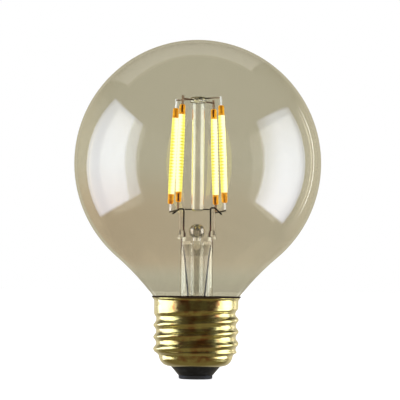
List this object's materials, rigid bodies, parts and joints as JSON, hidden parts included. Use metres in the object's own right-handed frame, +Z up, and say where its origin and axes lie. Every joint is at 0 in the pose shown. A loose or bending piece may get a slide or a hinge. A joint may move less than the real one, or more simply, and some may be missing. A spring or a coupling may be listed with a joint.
{
  "type": "globe bulb",
  "caption": "Clear globe lamp with upright glowing filaments round a glass rod, on a glass stem, in a brass screw cap.",
  "frame": {"origin": "middle of the flat face under the centre contact", "axes": "+Z up along the lamp's axis, from the contact to the crown of the globe; +X to the right seen from the front"},
  "size_m": [0.076, 0.076, 0.1041],
  "materials": {
    "tinted_glass": "smooth blown glass with a slight smoky tint",
    "clear_glass": "smooth drawn glass",
    "phosphor": "soft coating, lit",
    "pin_metal": "bright plated strip",
    "dark_wire": "dark drawn wire",
    "lead_metal": "dark, slightly coppery wire",
    "post_metal": "bright drawn wire",
    "brass": "polished rolled sheet",
    "black_glass": "smooth black insulator",
    "contact_metal": "dark tinned disc",
    "cement": "matt baked cement",
    "board": "lacquered board",
    "package": "moulded package",
    "can": "satin can",
    "resistor_body": "lacquered ceramic",
    "copper_wire": "tinned copper"
  },
  "bodies": {
    "root": {"glass_envelope": "tinted_glass", "glass_stem": "clear_glass", "exhaust_tube": "clear_glass", "centre_rod": "clear_glass", "upper_wire_a": "dark_wire", "upper_wire_b": "dark_wire", "lower_bracket_left": "dark_wire", "lower_bracket_right": "dark_wire", "rod_support_left": "dark_wire", "rod_support_right": "dark_wire", "lead_wire_left": "lead_metal", "lead_wire_right": "lead_metal", "lead_post_left": "post_metal", "lead_post_right": "post_metal", "screw_shell": "brass", "insulator": "black_glass", "centre_contact": "contact_metal", "base_cement": "cement", "driver_board": "board", "bridge_rectifier": "package", "driver_chip": "package", "smoothing_capacitor": "can", "fusible_resistor": "resistor_body", "contact_wire": "copper_wire", "resistor_wire": "copper_wire", "shell_wire": "copper_wire", "filament_1": "phosphor", "filament_1_lower_pin": "pin_metal", "filament_1_upper_pin": "pin_metal", "filament_2": "phosphor", "filament_2_lower_pin": "pin_metal", "filament_2_upper_pin": "pin_metal", "filament_3": "phosphor", "filament_3_lower_pin": "pin_metal", "filament_3_upper_pin": "pin_metal", "filament_4": "phosphor", "filament_4_lower_pin": "pin_metal", "filament_4_upper_pin": "pin_metal"}
  },
  "joints": []
}
